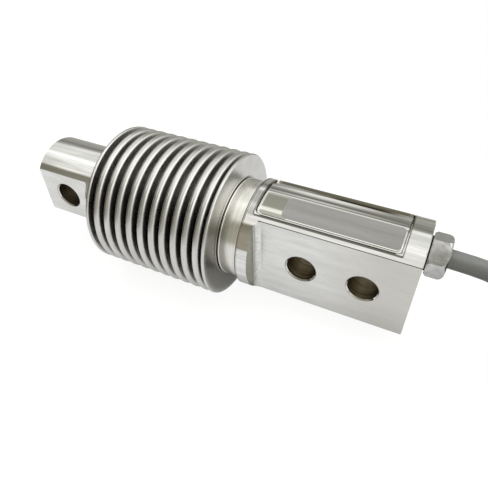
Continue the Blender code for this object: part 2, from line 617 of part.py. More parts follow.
machined_steel = material("machined_stainless_steel", (0.62, 0.61, 0.58), 0.22, 1.0)
formed_steel = material("formed_stainless_steel", (0.56, 0.55, 0.53), 0.34, 1.0)
cover_steel = material("cover_steel", (0.60, 0.59, 0.56), 0.18, 1.0)
plate_aluminium = material("nameplate_aluminium", (0.50, 0.50, 0.50), 0.38, 1.0)
gland_steel = material("gland_steel", (0.52, 0.51, 0.49), 0.30, 1.0)
black_rubber = material("black_rubber", (0.02, 0.02, 0.02), 0.65, 0.0)
grey_jacket = material("grey_cable_jacket", (0.21, 0.22, 0.21), 0.5, 0.0)
strap_fabric = material("black_strap", (0.03, 0.03, 0.03), 0.8, 0.0)
gauge_foil = material("gauge_foil", (0.66, 0.42, 0.18), 0.4, 0.3)
laminate_green = material("green_laminate", (0.03, 0.20, 0.07), 0.5, 0.0)
resistor_ceramic = material("resistor_ceramic", (0.60, 0.53, 0.40), 0.6, 0.0)
wire_enamel = [material("wire_enamel_copper", (0.55, 0.22, 0.08), 0.35, 0.8),
               material("wire_enamel_white", (0.75, 0.74, 0.70), 0.5, 0.0)]
core_coats = [("red", material("core_red", (0.55, 0.03, 0.02), 0.45, 0.0)),
              ("black", material("core_black", (0.02, 0.02, 0.02), 0.45, 0.0)),
              ("green", material("core_green", (0.02, 0.28, 0.08), 0.45, 0.0)),
              ("white", material("core_white", (0.78, 0.78, 0.75), 0.45, 0.0))]

make_measuring_body(machined_steel)
make_bellows(formed_steel)
make_load_side_ring(machined_steel)
make_cover_and_nameplate(cover_steel, plate_aluminium)
make_gauges(gauge_foil, wire_enamel)
make_board(laminate_green, resistor_ceramic)
make_gland(gland_steel, black_rubber)
make_cores(core_coats)
make_hank(grey_jacket, strap_fabric)
make_cable(grey_jacket, core_coats)
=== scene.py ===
import json
import math

import bmesh
import bpy
from mathutils import Matrix, Vector

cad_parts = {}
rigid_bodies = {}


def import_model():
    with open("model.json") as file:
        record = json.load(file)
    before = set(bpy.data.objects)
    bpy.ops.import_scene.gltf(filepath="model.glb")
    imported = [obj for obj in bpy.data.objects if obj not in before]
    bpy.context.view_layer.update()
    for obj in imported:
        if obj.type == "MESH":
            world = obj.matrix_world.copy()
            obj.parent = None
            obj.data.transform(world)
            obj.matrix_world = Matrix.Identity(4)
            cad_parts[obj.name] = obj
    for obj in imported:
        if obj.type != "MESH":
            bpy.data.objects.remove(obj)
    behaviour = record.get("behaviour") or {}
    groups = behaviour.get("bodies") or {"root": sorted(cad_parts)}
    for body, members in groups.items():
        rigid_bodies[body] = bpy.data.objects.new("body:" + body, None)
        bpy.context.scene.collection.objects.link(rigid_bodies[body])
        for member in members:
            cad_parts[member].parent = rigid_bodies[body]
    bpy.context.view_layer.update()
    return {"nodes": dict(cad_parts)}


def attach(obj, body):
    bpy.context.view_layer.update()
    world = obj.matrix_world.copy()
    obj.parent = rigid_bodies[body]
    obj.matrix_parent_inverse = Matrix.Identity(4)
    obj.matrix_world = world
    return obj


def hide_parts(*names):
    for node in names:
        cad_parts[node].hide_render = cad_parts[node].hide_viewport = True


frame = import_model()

print("frame loaded:", len(frame["nodes"]), "nodes")

mm = 0.001
cell = {"middleX": 63.2, "axisZ": 21.7}  # where the row's origin lies on the cell, mm


def at(x, y, z):  # mm along the cell from its load end, z from its axis
    return Vector(((x - cell["middleX"]) * mm, y * mm, (z + cell["axisZ"]) * mm))


def floorPoint(x, y, z):  # the same, with z from the floor
    return at(x, y, z - cell["axisZ"])


# camera, as the photo was taken
shot = {"place": (0.054634, -0.09526, 0.115797), "right": (0.90012, 0.43487, -0.02586),
        "down": (0.28251, -0.62789, -0.72522), "lens": 34.78}
right = Vector(shot["right"]).normalized()
up = -Vector(shot["down"]).normalized()
back = right.cross(up)
camData = bpy.data.cameras.new("photoCamera")
camData.sensor_width = 36
camData.lens = shot["lens"]
camData.clip_start = 0.005
cam = bpy.data.objects.new("photoCamera", camData)
cam.matrix_world = Matrix.Translation(shot["place"]) @ Matrix((right, up, back)).transposed().to_4x4()
bpy.context.scene.collection.objects.link(cam)
bpy.context.scene.camera = cam
bpy.context.scene.view_settings.view_transform = "Standard"
print("camera set")


# meshes

def turnProfile(points, steps, axisZ=0.0, closed=False):
    work = bmesh.new()
    verts = [work.verts.new(at(x, 0, axisZ + r)) for x, r in points]
    edges = [work.edges.new(pair) for pair in zip(verts, verts[1:])]
    if closed:
        edges.append(work.edges.new((verts[-1], verts[0])))
    bmesh.ops.spin(work, geom=verts + edges, cent=at(0, 0, axisZ), axis=(1, 0, 0),
                   angle=math.radians(360), steps=steps, use_merge=True)
    bmesh.ops.remove_doubles(work, verts=work.verts, dist=1e-7)
    bmesh.ops.recalc_face_normals(work, faces=work.faces)
    return work


def arcPoints(x, r, radius, start, end, count):  # angles from the cable end
    out = []
    for k in range(count):
        a = math.radians(start + (end - start) * k / (count - 1))
        out.append((x + radius * math.cos(a), r + radius * math.sin(a)))
    return out


def rod(start, end, radius, sides=96):
    a, b = at(*start), at(*end)
    work = bmesh.new()
    bmesh.ops.create_cone(work, cap_ends=True, segments=sides, radius1=radius * mm, radius2=radius * mm,
                          depth=(b - a).length)
    turn = (b - a).to_track_quat("Z", "X").to_matrix().to_4x4()
    bmesh.ops.transform(work, matrix=Matrix.Translation((a + b) / 2) @ turn, verts=work.verts)
    return work


def brick(low, high, rounding=0.0, pick=None, segments=8):
    work = bmesh.new()
    bmesh.ops.create_cube(work, size=1.0)
    a, b = at(*low), at(*high)
    bmesh.ops.transform(work, matrix=Matrix.Translation((a + b) / 2) @ Matrix.Diagonal((*(b - a), 1.0)),
                        verts=work.verts)
    if rounding:
        edges = [e for e in work.edges if pick(e)]
        bmesh.ops.bevel(work, geom=edges, offset=rounding * mm, segments=segments, affect="EDGES",
                        profile=0.5, material=-1)
    return work


def sweptPlate(xs, radii, angles, corner, steps):  # bent round the axis, angles from the top towards -Y
    work = bmesh.new()
    (x0, x1), (r0, r1), (a0, a1) = xs, radii, (math.radians(v) for v in angles)
    across = Vector((0, -math.sin(a0), math.cos(a0)))
    centre = at(0, 0, 0)
    verts = [work.verts.new(centre + Vector((x * mm, 0, 0)) + across * r * mm)
             for x, r in ((x0, r0), (x1, r0), (x1, r1), (x0, r1))]
    face = work.faces.new(verts)
    bmesh.ops.spin(work, geom=[face, *face.edges, *face.verts], cent=centre, axis=(1, 0, 0),
                   angle=a1 - a0, steps=steps)
    bmesh.ops.recalc_face_normals(work, faces=work.faces)
    middle = at((x0 + x1) / 2, 0, 0).x
    for vert in work.verts:  # the corners drawn in to a round
        angle = math.atan2(-vert.co.y, vert.co.z - centre.z)
        rest = corner - r1 * min(angle - a0, a1 - angle)
        if rest > 0:
            inset = corner - math.sqrt(max(0.0, corner ** 2 - rest ** 2))
            vert.co.x += inset * mm if vert.co.x < middle else -inset * mm
    return work


def makeMesh(name, work):
    mesh = bpy.data.meshes.new(name)
    work.to_mesh(mesh)
    work.free()
    piece = bpy.data.objects.new(name, mesh)
    bpy.context.scene.collection.objects.link(piece)
    return piece


def bake(piece):  # modifiers become the mesh
    bpy.context.view_layer.update()
    shaped = piece.evaluated_get(bpy.context.evaluated_depsgraph_get())
    mesh = bpy.data.meshes.new_from_object(shaped)
    piece.modifiers.clear()
    old = piece.data
    piece.data = mesh
    bpy.data.meshes.remove(old)


def cutAway(piece, works):
    cutters = []
    for k, work in enumerate(works):
        cutter = makeMesh(f"{piece.name}Cutter{k}", work)
        cutters.append(cutter)
        cutting = piece.modifiers.new(cutter.name, "BOOLEAN")
        cutting.object = cutter
        cutting.operation = "DIFFERENCE"
        cutting.solver = "EXACT"
    bake(piece)
    for cutter in cutters:
        bpy.data.objects.remove(cutter, do_unlink=True)


def softenEdges(piece, size, angle=50.0, segments=3):
    easing = piece.modifiers.new("easing", "BEVEL")
    easing.width = size * mm
    easing.segments = segments
    easing.limit_method = "ANGLE"
    easing.angle_limit = math.radians(angle)
    bake(piece)


def finishPiece(piece, mats, sharp=25.0, choose=None):
    mesh = piece.data
    mesh.materials.clear()
    for mat in mats:
        mesh.materials.append(mat)
    mesh.shade_smooth()
    mesh.set_sharp_from_angle(angle=math.radians(sharp))
    if choose:
        for face in mesh.polygons:
            face.material_index = choose(face.center, face.normal)
    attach(piece, "root")


# materials

def newMaterial(name):
    mat = bpy.data.materials.new(name)
    mat.use_nodes = True
    return mat, mat.node_tree.nodes, mat.node_tree.links, mat.node_tree.nodes["Principled BSDF"]


def noise(nodes, links, scale, detail=4.0, stretch=(1, 1, 1), rough=0.6):
    where = nodes.new("ShaderNodeTexCoord")
    mapping = nodes.new("ShaderNodeMapping")
    mapping.inputs["Scale"].default_value = stretch
    texture = nodes.new("ShaderNodeTexNoise")
    texture.inputs["Scale"].default_value = scale
    texture.inputs["Detail"].default_value = detail
    texture.inputs["Roughness"].default_value = rough
    links.new(where.outputs["Object"], mapping.inputs["Vector"])
    links.new(mapping.outputs["Vector"], texture.inputs["Vector"])
    return texture.outputs["Fac"]


def ranged(nodes, links, value, low, high, toLow, toHigh):
    node = nodes.new("ShaderNodeMapRange")
    for socket, number in (("From Min", low), ("From Max", high), ("To Min", toLow), ("To Max", toHigh)):
        node.inputs[socket].default_value = number
    links.new(value, node.inputs["Value"])
    return node.outputs["Result"]


def mixed(nodes, links, value, colourA, colourB):
    node = nodes.new("ShaderNodeMix")
    node.data_type = "RGBA"
    node.inputs["A"].default_value = (*colourA, 1)
    node.inputs["B"].default_value = (*colourB, 1)
    links.new(value, node.inputs["Factor"])
    return node.outputs["Result"]


def bumped(nodes, links, height, depth):
    node = nodes.new("ShaderNodeBump")
    node.inputs["Distance"].default_value = depth
    node.inputs["Strength"].default_value = 1.0
    links.new(height, node.inputs["Height"])
    return node.outputs["Normal"]


def cellPlace(nodes, links):  # where a point lies on the cell: x, y and z in mm, and degrees from the top
    where = nodes.new("ShaderNodeTexCoord")
    scaled = nodes.new("ShaderNodeVectorMath")
    scaled.operation = "MULTIPLY_ADD"
    scaled.inputs[1].default_value = (1 / mm, 1 / mm, 1 / mm)
    scaled.inputs[2].default_value = (cell["middleX"], 0, -cell["axisZ"])
    links.new(where.outputs["Object"], scaled.inputs[0])
    split = nodes.new("ShaderNodeSeparateXYZ")
    links.new(scaled.outputs["Vector"], split.inputs["Vector"])
    turn = summed(nodes, links, "ARCTAN2", summed(nodes, links, "MULTIPLY", split.outputs["Y"], -1.0),
                  split.outputs["Z"])
    angle = summed(nodes, links, "MULTIPLY", turn, math.degrees(1))
    flat = nodes.new("ShaderNodeVectorMath")
    flat.operation = "MULTIPLY"
    flat.inputs[1].default_value = (0, 1, 1)
    links.new(scaled.outputs["Vector"], flat.inputs[0])
    away = nodes.new("ShaderNodeVectorMath")
    away.operation = "LENGTH"
    links.new(flat.outputs["Vector"], away.inputs[0])
    return {"x": split.outputs["X"], "y": split.outputs["Y"], "z": split.outputs["Z"], "angle": angle,
            "radius": away.outputs["Value"], "place": scaled.outputs["Vector"]}


def summed(nodes, links, operation, a, b):  # one sum of two values
    node = nodes.new("ShaderNodeMath")
    node.operation = operation
    for socket, value in ((node.inputs[0], a), (node.inputs[1], b)):
        if isinstance(value, (int, float)):
            socket.default_value = value
        else:
            links.new(value, socket)
    return node.outputs["Value"]


def between(nodes, links, value, low, high, soft):  # 1 from low to high, 0 outside
    rising = ranged(nodes, links, value, low - soft, low + soft, 0, 1)
    falling = ranged(nodes, links, value, high - soft, high + soft, 1, 0)
    return summed(nodes, links, "MULTIPLY", rising, falling)


def painted(nodes, links, shader, marks):  # limits are of x, y, z, angle or radius, or round a hole
    spot = cellPlace(nodes, links)
    for mark in marks:
        mask = None
        for key, (low, high, soft) in mark["limits"].items():
            if key.startswith("hole"):
                away = nodes.new("ShaderNodeVectorMath")
                away.operation = "DISTANCE"
                flat = nodes.new("ShaderNodeVectorMath")
                flat.operation = "MULTIPLY"
                flat.inputs[1].default_value = (1, 0, 1)
                links.new(spot["place"], flat.inputs[0])
                links.new(flat.outputs["Vector"], away.inputs[0])
                away.inputs[1].default_value = (mark["holeX"], 0, 0)
                value = away.outputs["Value"]
            else:
                value = spot[key]
            part = between(nodes, links, value, low, high, soft)
            mask = part if mask is None else summed(nodes, links, "MULTIPLY", mask, part)
        mask = summed(nodes, links, "MULTIPLY", mask, mark["amount"])
        for key, colour in (("Base Color", mark["colour"]), ("Specular Tint", mark.get("edge"))):
            if colour is None:
                continue
            node = nodes.new("ShaderNodeMix")
            node.data_type = "RGBA"
            links.new(mask, node.inputs["Factor"])
            node.inputs["A"].default_value = (1, 1, 1, 1)
            if shader.inputs[key].links:
                links.new(shader.inputs[key].links[0].from_socket, node.inputs["A"])
            node.inputs["B"].default_value = (*colour, 1)
            links.new(node.outputs["Result"], shader.inputs[key])


def metal(name, look):
    mat, nodes, links, shader = newMaterial(name)
    shader.inputs["Metallic"].default_value = 1.0
    grain = noise(nodes, links, 1.0, 6.0, look["grain"])
    cloud = noise(nodes, links, look.get("cloudScale", 140.0), 4.0, look.get("cloud", (1, 1, 1)))
    clouded = ranged(nodes, links, cloud, 0.35, 0.65, 0, 1)
    links.new(mixed(nodes, links, clouded, look["colour"], look["colourB"]), shader.inputs["Base Color"])
    roughness = ranged(nodes, links, grain, 0.25, 0.75, look["smooth"], look["rough"])
    links.new(roughness, shader.inputs["Roughness"])
    links.new(bumped(nodes, links, grain, look["depth"] * mm), shader.inputs["Normal"])
    if look.get("streak"):
        shader.inputs["Anisotropic"].default_value = look["streak"]
        tangent = nodes.new("ShaderNodeTangent")
        tangent.direction_type = "RADIAL"
        tangent.axis = "X"
        links.new(tangent.outputs["Tangent"], shader.inputs["Tangent"])
    if look.get("marks"):
        painted(nodes, links, shader, look["marks"])
    return mat


def plain(name, look):
    mat, nodes, links, shader = newMaterial(name)
    shader.inputs["Metallic"].default_value = look.get("metallic", 0.0)
    shader.inputs["Specular IOR Level"].default_value = look.get("shine", 0.5)
    fine = noise(nodes, links, look["scale"], 5.0, look.get("stretch", (1, 1, 1)))
    spread = ranged(nodes, links, fine, 0.3, 0.7, 0, 1)
    links.new(mixed(nodes, links, spread, look["colour"], look["colourB"]), shader.inputs["Base Color"])
    links.new(ranged(nodes, links, fine, 0.3, 0.7, look["smooth"], look["rough"]), shader.inputs["Roughness"])
    links.new(bumped(nodes, links, fine, look["depth"] * mm), shader.inputs["Normal"])
    return mat


# painted shade: the near-black of the dark lines at edges, steps, grooves, hole rims and the cuff gap
shadeDark = (0.035, 0.032, 0.026)
# painted shade: the dark of the gaps round the cavity cover
gapShade = (0.15, 0.145, 0.12)
holeXs = (90.9, 108.05, 9.4)  # the mounting holes and the load hole
# painted shade: a dark line round the chamfer of each hole
holeShadeMarks = [{"holeX": x, "limits": {"hole": (4.36, 4.56, 0.06)}, "colour": shadeDark, "amount": 0.8}
             for x in holeXs]
steelLooks = {
    "turnedSteel": {"colour": (0.80, 0.80, 0.79), "colourB": (0.60, 0.60, 0.58),
                    "grain": (9000, 60, 60), "smooth": 0.05, "rough": 0.11, "depth": 0.0003, "streak": 0.2,
                    "cloudScale": 1.0, "cloud": (60, 900, 900),
                    # painted shade: dark lines along the edge of the block's flat, at the collar step and in
                    # the fine groove beside it
                    "marks": [{"limits": {"x": (78.2, 121.0, 0.05), "angle": (36.25, 37.4, 0.12)},
                               "colour": shadeDark, "amount": 0.9},
                              {"limits": {"x": (73.5, 74.13, 0.04)}, "colour": shadeDark, "amount": 0.95},
                              {"limits": {"x": (74.27, 74.45, 0.05), "angle": (-60, 45, 12)},
                               "colour": shadeDark, "amount": 0.85},
                              # painted reflection: a duller band over the top of the collar
                              {"limits": {"x": (74.5, 76.2, 0.2), "angle": (3.0, 33.0, 1.5)},
                               "colour": (0.38, 0.38, 0.35), "amount": 0.85},
                              {"limits": {"x": (73.9, 76.9, 0.6), "angle": (43.0, 67.0, 4.0)},
                               "colour": (0.72, 0.66, 0.59), "amount": 0.85},
                              # painted shade: a dark line at the recess's left end and a dark band in the gap
                              # along its lower edge
                              {"limits": {"x": (76.0, 76.38, 0.05), "angle": (-32, 31.5, 0.5)},
                               "colour": shadeDark, "amount": 0.7},
                              {"limits": {"x": (76.3, 115.6, 0.1), "angle": (30.9, 32.7, 0.3)},
                               "colour": (0.09, 0.085, 0.07), "amount": 0.93},
                              # painted reflection: darker bands across the round of the block's end
                              {"limits": {"x": (115.8, 121.0, 0.1), "angle": (-2.8, 1.9, 0.4)},
                               "colour": (0.46, 0.45, 0.40), "amount": 0.85},
                              {"limits": {"x": (115.8, 121.0, 0.1), "angle": (-24.5, -20.5, 0.9)},
                               "colour": (0.38, 0.37, 0.31), "amount": 0.85},
                              {"limits": {"x": (115.8, 121.0, 0.1), "angle": (21.3, 24.4, 0.5)},
                               "colour": (0.55, 0.545, 0.52), "amount": 0.8},
                              {"limits": {"x": (77.0, 115.5, 2.0), "angle": (-41.0, -31.0, 0.8)},
                               "colour": (0.16, 0.135, 0.075), "edge": (0.75, 0.7, 0.6), "amount": 0.9},
                              # painted shade: a dark band in the gap at the recess's right end
                              {"limits": {"x": (115.4, 115.75, 0.06), "angle": (-32, 32, 0.3)},
                               "colour": gapShade, "amount": 0.8}]},
    "neckSteel": {"colour": (0.84, 0.83, 0.785), "colourB": (0.70, 0.69, 0.645),
                  "grain": (6000, 60, 60), "smooth": 0.20, "rough": 0.31, "depth": 0.0006, "streak": 0.3,
                  "cloudScale": 1.0, "cloud": (1400, 90, 90),
                  # painted shade on the neck at the collar step
                  "marks": [{"limits": {"x": (73.45, 74.0, 0.06)}, "colour": shadeDark, "amount": 0.9}]},
    "milledSteel": {"colour": (0.785, 0.785, 0.775), "colourB": (0.665, 0.665, 0.65),
                    "grain": (60, 2600, 2600), "smooth": 0.20, "rough": 0.30, "depth": 0.0004,
                    "cloudScale": 1.0, "cloud": (70, 200, 330),
                    "marks": holeShadeMarks + [{"limits": {"x": (103.0, 140.0, 9.0)},
                                           "colour": (0.58, 0.565, 0.52), "amount": 0.75}]},
    "facedSteel": {"colour": (0.68, 0.675, 0.65), "colourB": (0.60, 0.595, 0.57),
                   "grain": (400, 900, 900), "smooth": 0.16, "rough": 0.26, "depth": 0.0003,
                   # painted shade on the walls at the recess's left end and the flat's shoulder
                   "marks": [{"limits": {"x": (76.0, 79.5, 0.1)},
                              "colour": (0.37, 0.365, 0.29), "amount": 0.95}]},
    "boredSteel": {"colour": (0.54, 0.49, 0.39), "colourB": (0.26, 0.235, 0.18),
                   "grain": (60, 5000, 60), "smooth": 0.25, "rough": 0.42, "depth": 0.0030,
                   "cloudScale": 1.0, "cloud": (60, 1500, 60)},
    "bellowsSteel": {"colour": (0.70, 0.695, 0.68), "colourB": (0.60, 0.595, 0.58),
                     "grain": (900, 300, 300), "smooth": 0.24, "rough": 0.36, "depth": 0.0005,
                     "cloudScale": 1.0, "cloud": (1500, 160, 160),
                     # painted reflection and shade on the last disc: darker overall, darkest on its lower
                     # face towards the collar
                     "marks": [{"limits": {"x": (66.6, 68.0, 0.1), "radius": (0, 20.9, 0.3)},
                                "colour": (0.50, 0.49, 0.46), "amount": 0.35},
                               {"limits": {"x": (66.6, 68.0, 0.1), "radius": (0, 20.7, 0.8),
                                           "angle": (42, 175, 14)},
                                "colour": (0.24, 0.23, 0.20), "amount": 0.8},
                               # painted shade deep in the grooves between the crests
                               {"limits": {"x": (27.7, 66.6, 0.1), "radius": (0, 19.3, 1.0),
                                           "z": (-2.5, 13.0, 3.5)},
                                "colour": (0.12, 0.115, 0.11), "amount": 0.9}]},
    "coverSteel": {"colour": (0.72, 0.715, 0.70), "colourB": (0.62, 0.615, 0.595),
                   "grain": (40, 3000, 3000), "smooth": 0.06, "rough": 0.13, "depth": 0.0003, "streak": 0.3,
                   "cloudScale": 1.0, "cloud": (60, 1100, 1100),
                   # a golden-brown band with a black core along the cover's back: partly weld heat tint,
                   # partly a painted dark reflection
                   "marks": [{"limits": {"x": (86.0, 116.0, 2.0), "angle": (-31.5, -25.5, 1.0)},
                              "colour": (0.60, 0.51, 0.32), "amount": 0.85},
                             {"limits": {"x": (87.0, 111.5, 3.0), "angle": (-25.5, -16.0, 1.2)},
                              "colour": (0.20, 0.15, 0.09), "amount": 0.9},
                             {"limits": {"x": (94.5, 109.3, 2.2), "angle": (-24.0, -17.2, 1.0)},
                              "colour": (0.02, 0.014, 0.010), "edge": (0.55, 0.53, 0.48), "amount": 0.97},
                             # painted shade: a dark band in the gap along the cover's lower edge
                             {"limits": {"x": (76.9, 115.4, 0.1), "angle": (29.5, 31.2, 0.25)},
                              "colour": gapShade, "amount": 0.85},
                             {"limits": {"x": (76.9, 115.4, 0.1), "angle": (-7.8, -5.6, 0.5)},
                              "colour": (0.42, 0.41, 0.37), "amount": 0.7},
                             # painted shade: a dark band in the gap at the cover's right end
                             {"limits": {"x": (114.9, 115.4, 0.06), "angle": (-32, 32, 0.3)},
                              "colour": gapShade, "amount": 0.8}]},
    "plateSteel": {"colour": (0.72, 0.715, 0.70), "colourB": (0.64, 0.635, 0.615),
                   "grain": (40, 3000, 3000), "smooth": 0.08, "rough": 0.16, "depth": 0.0003, "streak": 0.3,
                   "cloudScale": 1.0, "cloud": (300, 900, 900),
                   # painted reflection on the plate's bare left end: darker olive bands, with a dimmed bright
                   # stripe left between them
                   "marks": [{"limits": {"x": (77.5, 85.0, 0.15), "angle": (18.0, 30.0, 0.5)},
                              "colour": (0.50, 0.50, 0.45), "amount": 0.7},
                             {"limits": {"x": (77.5, 85.0, 0.15), "angle": (3.6, 20.6, 0.9)},
                              "colour": (0.25, 0.25, 0.21), "amount": 0.93},
                             {"limits": {"x": (77.5, 85.0, 0.15), "angle": (24.6, 27.7, 0.5)},
                              "colour": (0.33, 0.33, 0.28), "amount": 0.85},
                             # painted highlights along the plate's top and lower edges
                             {"limits": {"x": (76.0, 116.0, 0.1), "angle": (1.0, 2.8, 0.2)},
                              "colour": (0.95, 0.95, 0.94), "amount": 0.9},
                             {"limits": {"x": (85.0, 116.0, 0.2), "angle": (27.4, 29.0, 0.2)},
                              "colour": (0.93, 0.93, 0.92), "amount": 0.9}]},
    "glandSteel": {"colour": (0.64, 0.64, 0.64), "colourB": (0.50, 0.50, 0.50),
                   "grain": (500, 500, 500), "smooth": 0.20, "rough": 0.32, "depth": 0.0014,
                   "cloudScale": 700.0},
    # painted shade: near-black for the gap under the bellows' cuff
    "seamGapShade": {"colour": shadeDark, "colourB": (0.05, 0.045, 0.04),
                  "grain": (500, 500, 500), "smooth": 0.4, "rough": 0.5, "depth": 0.0005},
}
steels = {name: metal(name, look) for name, look in steelLooks.items()}

plainLooks = {
    "plateFilm": {"colour": (0.335, 0.325, 0.320), "colourB": (0.275, 0.268, 0.262), "scale": 1.0,
                  "stretch": (30, 700, 700), "smooth": 0.22, "rough": 0.34, "depth": 0.0004,
                  "metallic": 0.25},
    "cableJacket": {"colour": (0.225, 0.232, 0.225), "colourB": (0.195, 0.202, 0.195), "scale": 900,
                    "smooth": 0.24, "rough": 0.34, "depth": 0.003},
    "blackRubber": {"colour": (0.018, 0.018, 0.018), "colourB": (0.028, 0.027, 0.026), "scale": 1500,
                    "smooth": 0.50, "rough": 0.65, "depth": 0.006},
    "strapFabric": {"colour": (0.022, 0.022, 0.024), "colourB": (0.050, 0.050, 0.053), "scale": 2600,
                    "smooth": 0.75, "rough": 0.92, "depth": 0.06},
    "gaugeFilm": {"colour": (0.62, 0.34, 0.10), "colourB": (0.50, 0.26, 0.08), "scale": 600,
                  "smooth": 0.28, "rough": 0.38, "depth": 0.002},
    "wireCopper": {"colour": (0.52, 0.20, 0.07), "colourB": (0.44, 0.16, 0.06), "scale": 900,
                   "smooth": 0.25, "rough": 0.35, "depth": 0.002, "metallic": 0.8},
    "wireWhite": {"colour": (0.74, 0.73, 0.68), "colourB": (0.68, 0.66, 0.61), "scale": 900,
                  "smooth": 0.40, "rough": 0.55, "depth": 0.002},
    "boardGreen": {"colour": (0.020, 0.170, 0.060), "colourB": (0.015, 0.130, 0.045), "scale": 500,
                   "smooth": 0.28, "rough": 0.40, "depth": 0.004},
    "resistorBody": {"colour": (0.58, 0.50, 0.37), "colourB": (0.52, 0.44, 0.32), "scale": 900,
                     "smooth": 0.45, "rough": 0.60, "depth": 0.006},
    "coreRed": {"colour": (0.55, 0.030, 0.020), "colourB": (0.48, 0.022, 0.015), "scale": 900,
                "smooth": 0.35, "rough": 0.48, "depth": 0.003},
    "coreBlack": {"colour": (0.018, 0.018, 0.020), "colourB": (0.026, 0.026, 0.028), "scale": 900,
                  "smooth": 0.35, "rough": 0.48, "depth": 0.003},
    "coreGreen": {"colour": (0.020, 0.280, 0.070), "colourB": (0.015, 0.230, 0.055), "scale": 900,
                  "smooth": 0.35, "rough": 0.48, "depth": 0.003},
    "coreWhite": {"colour": (0.78, 0.77, 0.73), "colourB": (0.72, 0.71, 0.67), "scale": 900,
                  "smooth": 0.35, "rough": 0.48, "depth": 0.003},
}
finishes = {name: plain(name, look) for name, look in plainLooks.items()}
print("materials made:", len(steels) + len(finishes))


# measuring body
body = {"length": 120.6, "spigotR": 12.6, "spigotFlat": 9.7, "spigotFlatEnd": 19.45, "spigotFillet": 0.8,
        "spigotEdge": 0.15, "neckR": 14.7, "neckX": 62.8, "collarX": 73.75, "blockR": 16.1, "blockFlat": 9.7,
        "blockFlatX": 77.4, "blockFillet": 1.9, "holeR": 4.1, "edge": 0.25, "holeEdge": 0.33,
        "grooveX": 74.37, "grooveWide": 0.16, "grooveDeep": 0.12, "beam": (28.64, 61.3), "beamFlat": 10.0,
        "bores": (37.18, 54.27), "boreR": 7.2, "slot": 3.0, "boreEnd": 20, "glandZ": 9.75,
        "stemBore": (111, 125), "stemBoreR": 4.0, "steps": 256}
seam = {"x": 67.73, "gap": 0.2, "deep": 0.3, "bead": 0.2, "wide": 0.5}  # where the cuff ends on the neck
recess = {"xs": (76.4, 115.4), "half": 31.0, "radii": (14.45, 22.0), "corner": 1.9, "steps": 48}
far = 40  # mm, well outside the cell


def flatCutters(x0, x1, across, fillet):
    out = []
    for side in (-1, 1):
        low, high = sorted((side * across, side * far))
        def inner(e, s=side):
            return (all(v.co.y * s < 0.0 or abs(v.co.y) < across * mm + 1e-6 for v in e.verts)
                    and abs(e.verts[0].co.x - e.verts[1].co.x) < 1e-9)
        out.append(brick((x0, low, -far), (x1, high, far), fillet, inner))
    return out


def drill(x, radius, face, chamfer):  # a cutter across the cell with a chamfer at both faces
    work = bmesh.new()
    rest = face - chamfer
    wide = radius + chamfer + 3
    profile = ((-face - 3, wide), (-rest, radius), (rest, radius), (face + 3, wide))
    verts = [work.verts.new(at(x + r, y, 0)) for y, r in profile]
    edges = [work.edges.new(pair) for pair in zip(verts, verts[1:])]
    bmesh.ops.spin(work, geom=verts + edges, cent=at(x, 0, 0), axis=(0, 1, 0), angle=math.radians(360),
                   steps=96, use_merge=True)
    rims = [e for e in work.edges if len(e.link_faces) == 1]
    bmesh.ops.holes_fill(work, edges=rims, sides=0)
    bmesh.ops.recalc_face_normals(work, faces=work.faces)
    return work


b = body
edge = b["edge"]
gx, gw, gd = b["grooveX"], b["grooveWide"] / 2, b["grooveDeep"]
beadX = seam["x"] + seam["gap"]
neckLow = b["neckR"] - seam["deep"]
outline = [(b["length"], 0), (b["length"], b["blockR"] - edge), (b["length"] - edge, b["blockR"]),
           (gx + gw, b["blockR"]), (gx + gw * 0.6, b["blockR"] - gd), (gx - gw * 0.6, b["blockR"] - gd),
           (gx - gw, b["blockR"]), (b["collarX"] + edge, b["blockR"]), (b["collarX"], b["blockR"] - edge),
           (b["collarX"], b["neckR"])]
outline += [(beadX + seam["wide"] / 2 * (1 + math.cos(math.radians(a))),
             b["neckR"] + seam["bead"] * math.sin(math.radians(a))) for a in range(0, 181, 20)]
outline += [(beadX, neckLow), (b["neckX"], neckLow), (b["neckX"], b["spigotR"]),
            (b["spigotEdge"], b["spigotR"]), (0, b["spigotR"] - b["spigotEdge"]), (0, 0)]
measuringBody = makeMesh("measuringBody", turnProfile(outline, b["steps"]))
cutters = flatCutters(b["blockFlatX"], b["length"] + 5, b["blockFlat"], b["blockFillet"])
cutters += flatCutters(-5, b["spigotFlatEnd"], b["spigotFlat"], b["spigotFillet"])
cutters += flatCutters(*b["beam"], b["beamFlat"], b["spigotFillet"])
for x in holeXs:
    cutters.append(drill(x, b["holeR"], b["blockFlat"], b["holeEdge"]))
for x in b["bores"]:
    cutters.append(rod((x, 0, -b["boreEnd"]), (x, 0, b["boreEnd"]), b["boreR"], sides=64))
cutters.append(brick((b["bores"][0], -b["slot"], -b["boreEnd"]), (b["bores"][1], b["slot"], b["boreEnd"])))
cutters.append(sweptPlate(recess["xs"], recess["radii"], (-recess["half"], recess["half"]),
                          recess["corner"], recess["steps"]))
cutters.append(rod(*((x, 0, b["glandZ"]) for x in b["stemBore"]), b["stemBoreR"]))
cutAway(measuringBody, cutters)


def bodyFinish(centre, normal):
    x, y, z = centre.x / mm + cell["middleX"], centre.y / mm, centre.z / mm - cell["axisZ"]
    for holeX in holeXs:
        if math.hypot(x - holeX, z) < b["holeR"] + 0.05 and abs(normal.y) < 0.3 and abs(y) < b["blockFlat"]:
            return 3
    if abs(normal.y) > 0.98 and abs(y) < 10.5:
        return 1
    if b["neckX"] < x < b["collarX"]:
        return 5 if x < beadX + 0.01 else 4
    return 2 if abs(normal.x) > 0.98 else 0


